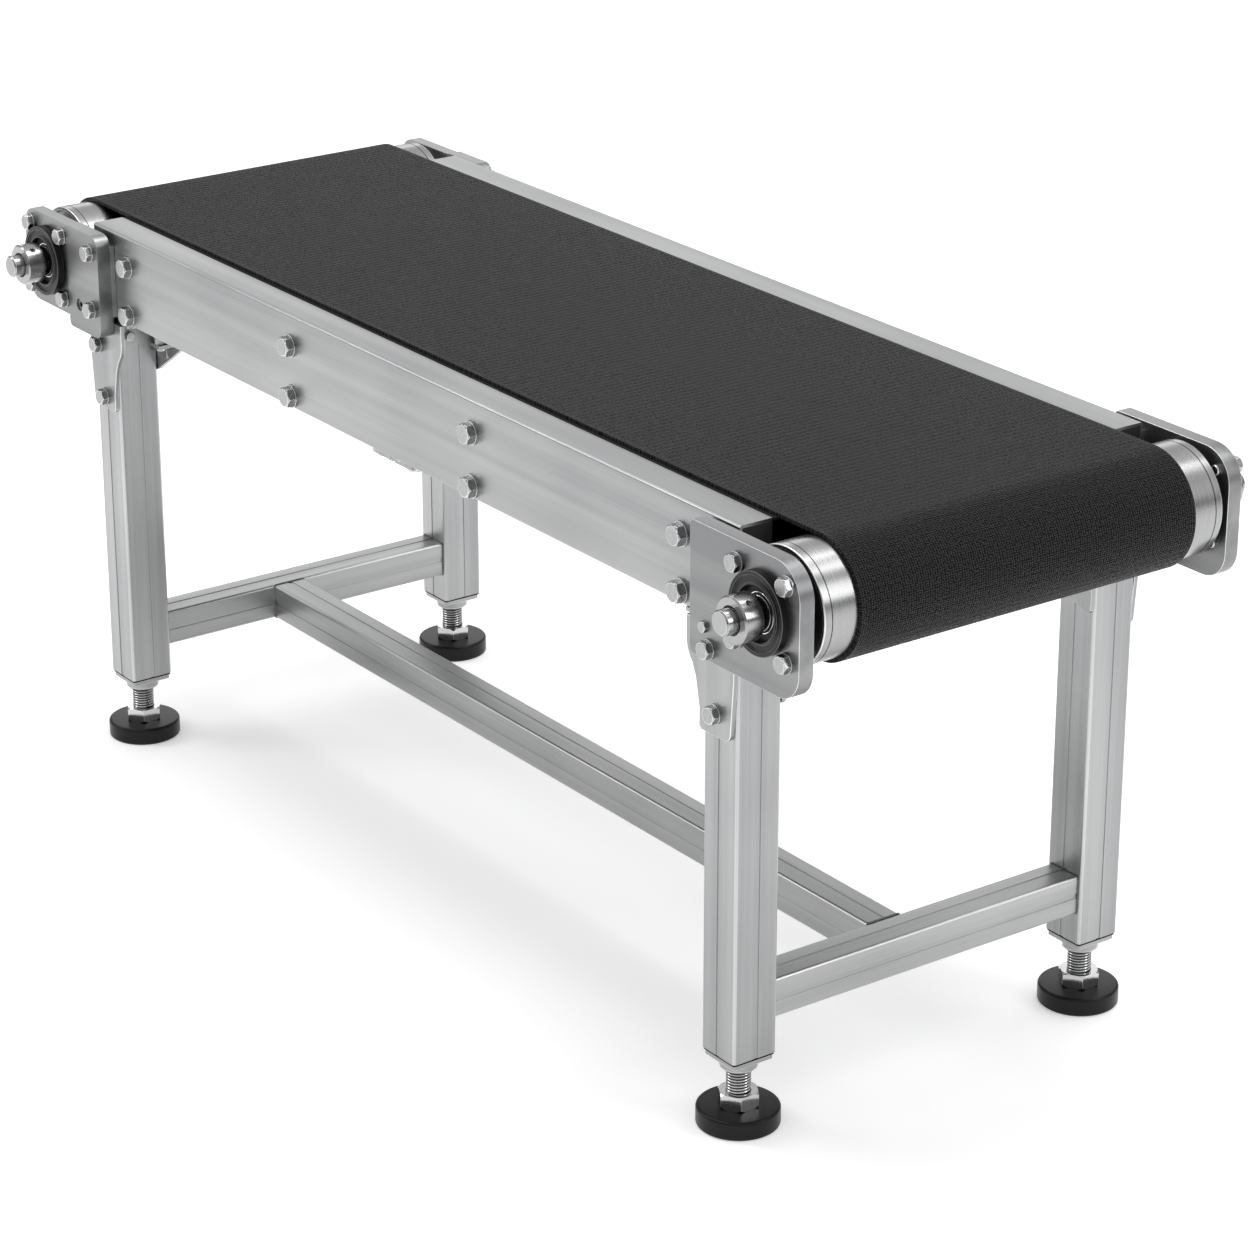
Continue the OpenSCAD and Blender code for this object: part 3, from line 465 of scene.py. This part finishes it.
# Head plates: thick side plates that carry the drive end's bearings, bolted over the rails.
# Ground flat and brushed lengthways, with a wide chamfer all round, coloured a lighter steel as a painted
# highlight.
plate_lengthways = brushed_stainless("plate_brushed_lengthways", "x", 0.27)
machined_copy("head_plate_near", "drive_plate_near", 0.0012, plate_lengthways)
machined_copy("head_plate_far", "drive_plate_far", 0.0012, plate_lengthways)
machined_copy("head_plate_spacers", "drive_plate_spacers", 0.0006, steel_along_y)


# Drums: drawn steel shells, turned and polished, with a disc welded into each end.
# The tool leaves fine rings round them, which spread reflections into long soft bands.
drum_polish = turned_bright("drum_polish", 0.36, 0.26, "y")
disc_steel = turned_bright("disc_steel", 0.45, 0.3, "y")
for end in ("head", "tail"):
    machined_copy(end + "_drum", end + "_drum_shell", 0.0012, drum_polish)
    machined_copy(end + "_drum_discs", end + "_drum_ends", 0.0006, disc_steel)


# Shafts and collars: bright ground bar with chamfered, turned-down ends, and a locking collar
# with two set screws on each side that keeps the shaft from walking through its bearings.
shaft_steel = turned_bright("shaft_steel", 0.36, 0.2, "y")
for end in ("head", "tail"):
    machined_copy(end + "_shaft", end + "_shaft_bar", 0.0004, shaft_steel)
    machined_copy(end + "_collars", end + "_lock_collars", 0.0007, shaft_steel)


# Accent rings: thin rings laid on the finished pieces, which aren't parts of their own. A black one is
# painted shade for the gap between collar and shaft, a bright one a painted highlight on the inner
# race's edge, and a black one painted shade standing for a fine groove round the drum. The steel under
# them is plain.
def turned_ring(name, centre, inner, outer, start, stop, finish, body, slot):
    """A ring about an axis along Y, from one radius to the other and from one y to the other."""
    around = 96
    ring = bmesh.new()
    rows = []
    for radius, y in ((inner, start), (outer, start), (outer, stop), (inner, stop)):
        row = []
        for step in range(around):
            a = 2 * math.pi * step / around
            x = centre.x + radius * math.cos(a)
            z = centre.z + radius * math.sin(a)
            row.append(ring.verts.new((x, y, z)))
        rows.append(row)
    for number in range(4):
        row, following = rows[number], rows[(number + 1) % 4]
        for step in range(around):
            after = (step + 1) % around
            ring.faces.new((row[step], row[after], following[after], following[step]))
    bmesh.ops.recalc_face_normals(ring, faces=ring.faces)
    mesh = bpy.data.meshes.new(name)
    ring.to_mesh(mesh)
    ring.free()
    mesh.materials.append(finish)
    piece = bpy.data.objects.new(name, mesh)
    bpy.context.scene.collection.objects.link(piece)
    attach(piece, body)


gap_radii = (0.0121, 0.0136)
race_radii = (0.0182, 0.0188)
groove_shade_inset = 0.009
groove_shade_width = 0.0009
# The black rings are painted shade, and the bright race ring a painted highlight.
shadow_black = dark_grained("shadow_black", 0.004, 0.6)
race_highlight = turned_bright("race_highlight", 0.85, 0.2, "y")
for end in ("head", "tail"):
    low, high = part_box(end + "_shaft")
    middle = (low + high) / 2
    drum_low, drum_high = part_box(end + "_drum")
    drum_radius = (drum_high.z - drum_low.z) / 2
    seal_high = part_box(end + "_seals")[1]
    collar_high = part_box(end + "_collars")[1]
    for side, way in (("near", -1), ("far", 1)):
        face = way * collar_high.y
        turned_ring("%s_bore_shadow_%s" % (end, side), middle, *gap_radii, face - way * 0.0004,
                    face + way * 0.0001, shadow_black, end + "_roller", "turned_steel")
        face = way * seal_high.y
        carrier = "root" if end == "head" else "take_up"
        turned_ring("%s_race_line_%s" % (end, side), middle, *race_radii, face - way * 0.0004,
                    face + way * 0.0002, race_highlight, carrier, "turned_steel")
        face = way * (drum_high.y - groove_shade_inset)
        turned_ring("%s_drum_groove_shade_%s" % (end, side), middle, drum_radius - 0.0005,
                    drum_radius + 0.00005, face, face + way * groove_shade_width, shadow_black,
                    end + "_roller", "turned_steel")


# Bearings: a black cast housing with a raised lip let into each plate, a rubber seal behind the
# lip, and inside it two races of hardened steel with eight balls between them.
cast_black = dark_grained("cast_black", 0.01, 0.34)
# The rim colour, paler than the casting, is a painted highlight on the housings' bevels.
cast_rim_highlight = dark_grained("cast_rim_highlight", 0.11, 0.28)
seal_rubber = dark_grained("seal_rubber", 0.004, 0.45)
race_steel = turned_bright("race_steel", 0.72, 0.14, "y")
for end in ("head", "tail"):
    machined_copy(end + "_bearing_housings", end + "_housings", 0.0006, cast_black, cast_rim_highlight)
    machined_copy(end + "_seals", end + "_lip_seals", 0.0003, seal_rubber, seal_rubber)
    for part in ("outer_rings", "inner_rings", "balls"):
        race = frame["nodes"]["%s_%s" % (end, part)]
        race.data.materials.clear()
        race.data.materials.append(race_steel)


# Tail take-up: plates that slide along the rails, with a clamp block and two clamp bolts each,
# and an adjusting screw that runs inside the rail and pulls the tail drum to tension the belt.
machined_copy("tail_plate_near", "take_up_plate_near", 0.0012, plate_lengthways)
machined_copy("tail_plate_far", "take_up_plate_far", 0.0012, plate_lengthways)
machined_copy("take_up_blocks", "take_up_clamps", 0.0006, steel_along_y)
machined_copy("take_up_screws", "take_up_rods", 0.0003, stud_steel)


# Fasteners: zinc-plated hexagon bolts with a domed face, each on a broad washer, with nuts on
# the inside. The plating is smooth and slightly cloudy, so they look softer than the plates.
def zinc_plate(name, tone, roughness):
    finish = bpy.data.materials.new(name)
    finish.use_nodes = True
    nodes = finish.node_tree.nodes
    links = finish.node_tree.links
    shader = nodes["Principled BSDF"]
    shader.inputs["Metallic"].default_value = 1.0
    where = nodes.new("ShaderNodeTexCoord")
    cloud = nodes.new("ShaderNodeTexNoise")
    cloud.inputs["Scale"].default_value = 260.0
    cloud.inputs["Detail"].default_value = 4.0
    links.new(where.outputs["Object"], cloud.inputs["Vector"])
    colour = nodes.new("ShaderNodeValToRGB")
    colour.color_ramp.elements[0].position = 0.3
    colour.color_ramp.elements[0].color = (tone * 0.85, tone * 0.86, tone * 0.88, 1)
    colour.color_ramp.elements[1].position = 0.7
    colour.color_ramp.elements[1].color = (tone * 1.08, tone * 1.08, tone * 1.08, 1)
    links.new(cloud.outputs["Fac"], colour.inputs["Fac"])
    links.new(colour.outputs["Color"], shader.inputs["Base Color"])
    rough = nodes.new("ShaderNodeMapRange")
    rough.inputs["To Min"].default_value = roughness - 0.08
    rough.inputs["To Max"].default_value = roughness + 0.1
    links.new(cloud.outputs["Fac"], rough.inputs["Value"])
    links.new(rough.outputs["Result"], shader.inputs["Roughness"])
    return finish


bolt_zinc = zinc_plate("bolt_zinc", 0.36, 0.26)
machined_copy("rail_bolts", "rail_hex_bolts", 0.0004, bolt_zinc)
machined_copy("rail_washers", "rail_flat_washers", 0.0003, bolt_zinc)
machined_copy("plate_bolts", "plate_hex_bolts", 0.0004, bolt_zinc)
machined_copy("plate_washers", "plate_flat_washers", 0.0003, bolt_zinc)
machined_copy("take_up_bolts", "clamp_hex_bolts", 0.0004, bolt_zinc)
machined_copy("take_up_washers", "clamp_flat_washers", 0.0003, bolt_zinc)
machined_copy("frame_nuts", "hex_nuts", 0.0004, bolt_zinc)
machined_copy("small_screws", "m6_screws", 0.0003, bolt_zinc)


# Belt: an endless black rubber belt 4 mm thick, moulded with fine ribs across its outer face
# and a smooth strip along each edge. It runs over the bed, round both drums and back below.
def loop_of(node, y):
    """The closed outlines of the belt's edge, longest first, as lists of (x, z)."""
    shape = bmesh.new()
    shape.from_mesh(frame["nodes"][node].data)
    bmesh.ops.remove_doubles(shape, verts=shape.verts, dist=2e-6)
    follow = {}
    for edge in shape.edges:
        if all(abs(end.co.y - y) < 1e-5 for end in edge.verts):
            flat = [abs(face.normal.y) > 0.9 for face in edge.link_faces]
            if len(flat) == 2 and flat[0] != flat[1]:
                a, b = edge.verts
                follow.setdefault(a.index, []).append(b.index)
                follow.setdefault(b.index, []).append(a.index)
    places = {vert.index: (vert.co.x, vert.co.z) for vert in shape.verts}
    shape.free()
    loops = []
    unused = set(follow)
    while unused:
        start = min(unused)
        loop = [start]
        unused.discard(start)
        here = start
        while True:
            ahead = [n for n in follow[here] if n in unused]
            if not ahead:
                break
            here = ahead[0]
            unused.discard(here)
            loop.append(here)
        loops.append([places[n] for n in loop])
    return sorted(
        loops,
        key=lambda loop: -sum(math.dist(a, b) for a, b in zip(loop, loop[1:] + loop[:1])),
    )


def walk(loop, count):
    """The same outline in equal steps, and its whole length."""
    steps = [math.dist(a, b) for a, b in zip(loop, loop[1:] + loop[:1])]
    total = sum(steps)
    points = []
    index, passed = 0, 0.0
    for number in range(count):
        goal = total * number / count
        while passed + steps[index] < goal:
            passed += steps[index]
            index += 1
        a, b = loop[index], loop[(index + 1) % len(loop)]
        share = (goal - passed) / steps[index]
        points.append((a[0] + (b[0] - a[0]) * share, a[1] + (b[1] - a[1]) * share))
    return points, total


_, belt_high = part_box("belt")
belt_thick = 0.004
edge_round = 0.0007
rib_pitch = 0.003
rib_depth = 0.00022
edge_strip = 0.005
outline = loop_of("belt", belt_high.y)[0]
area = sum(a[0] * b[1] - b[0] * a[1] for a, b in zip(outline, outline[1:] + outline[:1]))
if area < 0:
    outline.reverse()
length = sum(math.dist(a, b) for a, b in zip(outline, outline[1:] + outline[:1]))
ribs = round(length / rib_pitch)
points, length = walk(outline, ribs * 4)
half = belt_high.y
shape = bmesh.new()
runs = shape.verts.layers.float.new("belt_run")
sections = []
for number, (x, z) in enumerate(points):
    before, after = points[number - 1], points[(number + 1) % len(points)]
    tangent = Vector((after[0] - before[0], 0, after[1] - before[1])).normalized()
    out = Vector((tangent.z, 0, -tangent.x))
    sink = rib_depth * (0, 0, 0.85, 0.85)[number % 4]
    section = []
    for y, depth in (
        (-half, belt_thick - 0.0001),
        (-half, edge_round),
        (-half + edge_round, 0.0),
        (-half + edge_strip, 0.0),
        (-half + edge_strip + 0.0004, sink),
        (half - edge_strip - 0.0004, sink),
        (half - edge_strip, 0.0),
        (half - edge_round, 0.0),
        (half, edge_round),
        (half, belt_thick - 0.0001),
    ):
        corner = shape.verts.new(Vector((x, y, z)) - out * depth)
        corner[runs] = length * number / len(points)
        section.append(corner)
    sections.append(section)
for number in range(len(sections)):
    section, following = sections[number], sections[(number + 1) % len(sections)]
    for place in range(len(section)):
        after = (place + 1) % len(section)
        shape.faces.new((section[place], section[after], following[after], following[place]))
bmesh.ops.recalc_face_normals(shape, faces=shape.faces)
mesh = bpy.data.meshes.new("belt_ribbed")
shape.to_mesh(mesh)
shape.free()

belt_rubber = bpy.data.materials.new("belt_rubber")
belt_rubber.use_nodes = True
nodes = belt_rubber.node_tree.nodes
links = belt_rubber.node_tree.links
shader = nodes["Principled BSDF"]
shader.inputs["Specular IOR Level"].default_value = 0.11
shader.inputs["Sheen Weight"].default_value = 0.085
shader.inputs["Sheen Roughness"].default_value = 0.4
where = nodes.new("ShaderNodeTexCoord")
grain = nodes.new("ShaderNodeTexNoise")
grain.inputs["Scale"].default_value = 700.0
grain.inputs["Detail"].default_value = 3.0
links.new(where.outputs["Object"], grain.inputs["Vector"])
run = nodes.new("ShaderNodeAttribute")
run.attribute_name = "belt_run"
split = nodes.new("ShaderNodeSeparateXYZ")
links.new(where.outputs["Object"], split.inputs["Vector"])
unrolled = nodes.new("ShaderNodeCombineXYZ")
links.new(split.outputs["Y"], unrolled.inputs["X"])
links.new(run.outputs["Fac"], unrolled.inputs["Y"])
spacing = nodes.new("ShaderNodeMapping")
spacing.inputs["Scale"].default_value = (380, 460, 1)
links.new(unrolled.outputs["Vector"], spacing.inputs["Vector"])
pebbles = nodes.new("ShaderNodeTexVoronoi")
pebbles.voronoi_dimensions = "2D"
pebbles.feature = "SMOOTH_F1"
pebbles.inputs["Scale"].default_value = 1.0
pebbles.inputs["Smoothness"].default_value = 0.25
pebbles.inputs["Randomness"].default_value = 0.4
links.new(spacing.outputs["Vector"], pebbles.inputs["Vector"])
raised = nodes.new("ShaderNodeMapRange")
raised.interpolation_type = "SMOOTHSTEP"
raised.inputs["From Min"].default_value = 0.62
raised.inputs["From Max"].default_value = 0.12
links.new(pebbles.outputs["Distance"], raised.inputs["Value"])
painted_crest_light = nodes.new("ShaderNodeMath")
painted_crest_light.operation = "MULTIPLY"
links.new(raised.outputs["Result"], painted_crest_light.inputs[0])
links.new(grain.outputs["Fac"], painted_crest_light.inputs[1])
# Crests lighter and hollows near black: painted highlight on the pebbles and painted shade between them.
colour = nodes.new("ShaderNodeValToRGB")
colour.color_ramp.elements[0].position = 0.06
colour.color_ramp.elements[0].color = (0.0015, 0.0016, 0.0017, 1)
colour.color_ramp.elements[1].position = 0.5
colour.color_ramp.elements[1].color = (0.024, 0.0244, 0.0256, 1)
links.new(painted_crest_light.outputs["Value"], colour.inputs["Fac"])
links.new(colour.outputs["Color"], shader.inputs["Base Color"])
rough = nodes.new("ShaderNodeMapRange")
rough.inputs["To Min"].default_value = 0.7
rough.inputs["To Max"].default_value = 0.22
links.new(raised.outputs["Result"], rough.inputs["Value"])
links.new(rough.outputs["Result"], shader.inputs["Roughness"])
bump = nodes.new("ShaderNodeBump")
bump.inputs["Strength"].default_value = 1.0
bump.inputs["Distance"].default_value = 0.0014
links.new(raised.outputs["Result"], bump.inputs["Height"])
links.new(bump.outputs["Normal"], shader.inputs["Normal"])
mesh.materials.append(belt_rubber)
belt = bpy.data.objects.new("belt_ribbed", mesh)
bpy.context.scene.collection.objects.link(belt)
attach(belt, "root")
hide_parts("belt")


# Floor and light: the conveyor stands on a plain white sweep under large soft lamps.
floor_paper = bpy.data.materials.new("floor_paper")
floor_paper.use_nodes = True
nodes = floor_paper.node_tree.nodes
links = floor_paper.node_tree.links
shader = nodes["Principled BSDF"]
shader.inputs["Roughness"].default_value = 0.9
shader.inputs["Specular IOR Level"].default_value = 0.1
where = nodes.new("ShaderNodeTexCoord")
tooth = nodes.new("ShaderNodeTexNoise")
tooth.inputs["Scale"].default_value = 40.0
links.new(where.outputs["Object"], tooth.inputs["Vector"])
colour = nodes.new("ShaderNodeValToRGB")
colour.color_ramp.elements[0].color = (0.93, 0.93, 0.93, 1)
colour.color_ramp.elements[1].color = (0.95, 0.95, 0.95, 1)
links.new(tooth.outputs["Fac"], colour.inputs["Fac"])
links.new(colour.outputs["Color"], shader.inputs["Base Color"])
shader.inputs["Emission Color"].default_value = (1, 1, 1, 1)
shader.inputs["Emission Strength"].default_value = 0.33
sheet = bmesh.new()
bmesh.ops.create_grid(sheet, x_segments=8, y_segments=8, size=30)
mesh = bpy.data.meshes.new("floor_sheet")
sheet.to_mesh(mesh)
sheet.free()
mesh.materials.append(floor_paper)
floor = bpy.data.objects.new("floor_sheet", mesh)
bpy.context.scene.collection.objects.link(floor)


def soft_lamp(name, place, aim, width, height, power):
    """A large soft rectangular lamp turned toward a point."""
    lamp = bpy.data.lights.new(name, "AREA")
    lamp.shape = "RECTANGLE"
    lamp.size = width
    lamp.size_y = height
    lamp.energy = power
    holder = bpy.data.objects.new(name, lamp)
    holder.location = place
    holder.rotation_euler = (Vector(aim) - Vector(place)).to_track_quat("-Z", "Y").to_euler()
    bpy.context.scene.collection.objects.link(holder)


soft_lamp("lamp_above", (-0.4, 0.3, 3.2), (0, 0, 0.5), 3.0, 0.9, 45)
soft_lamp("lamp_left", (-2.6, -2.4, 2.2), (0, 0, 0.4), 0.9, 1.4, 20)
soft_lamp("lamp_behind", (-4.2, 3.2, 2.0), (0, 0, 0.6), 4.0, 1.6, 26)
soft_lamp("lamp_right", (3.2, 1.6, 2.0), (0.3, 0, 0.4), 0.7, 1.6, 16)
soft_lamp("lamp_drive_end", (1.2, 1.9, 3.0), (0.65, 0, 0.6), 1.0, 0.5, 8)

sky = bpy.data.worlds.new("studio")
sky.use_nodes = True
bpy.context.scene.world = sky
nodes = sky.node_tree.nodes
links = sky.node_tree.links
where = nodes.new("ShaderNodeTexCoord")
split = nodes.new("ShaderNodeSeparateXYZ")
links.new(where.outputs["Generated"], split.inputs["Vector"])
colour = nodes.new("ShaderNodeValToRGB")
colour.color_ramp.elements[0].position = 0.0
colour.color_ramp.elements[0].color = (0.12, 0.122, 0.125, 1)
colour.color_ramp.elements[1].position = 0.95
colour.color_ramp.elements[1].color = (1, 1, 1, 1)
half_way = colour.color_ramp.elements.new(0.45)
half_way.color = (0.66, 0.662, 0.665, 1)
links.new(split.outputs["Z"], colour.inputs["Fac"])
links.new(colour.outputs["Color"], nodes["Background"].inputs["Color"])
nodes["Background"].inputs["Strength"].default_value = 0.95
bpy.context.scene.view_settings.view_transform = "Standard"


# Camera: a long lens from the drive end, a little above the belt and turned toward the tail.
lens = bpy.data.cameras.new("camera")
lens.lens = 113.4
lens.sensor_width = 36
lens.clip_end = 100
camera = bpy.data.objects.new("camera", lens)
camera.location = (3.1275, -2.1903, 1.8068)
camera.rotation_euler = Vector((-0.7519, 0.5423, -0.3749)).to_track_quat("-Z", "Y").to_euler()
bpy.context.scene.collection.objects.link(camera)
bpy.context.scene.camera = camera
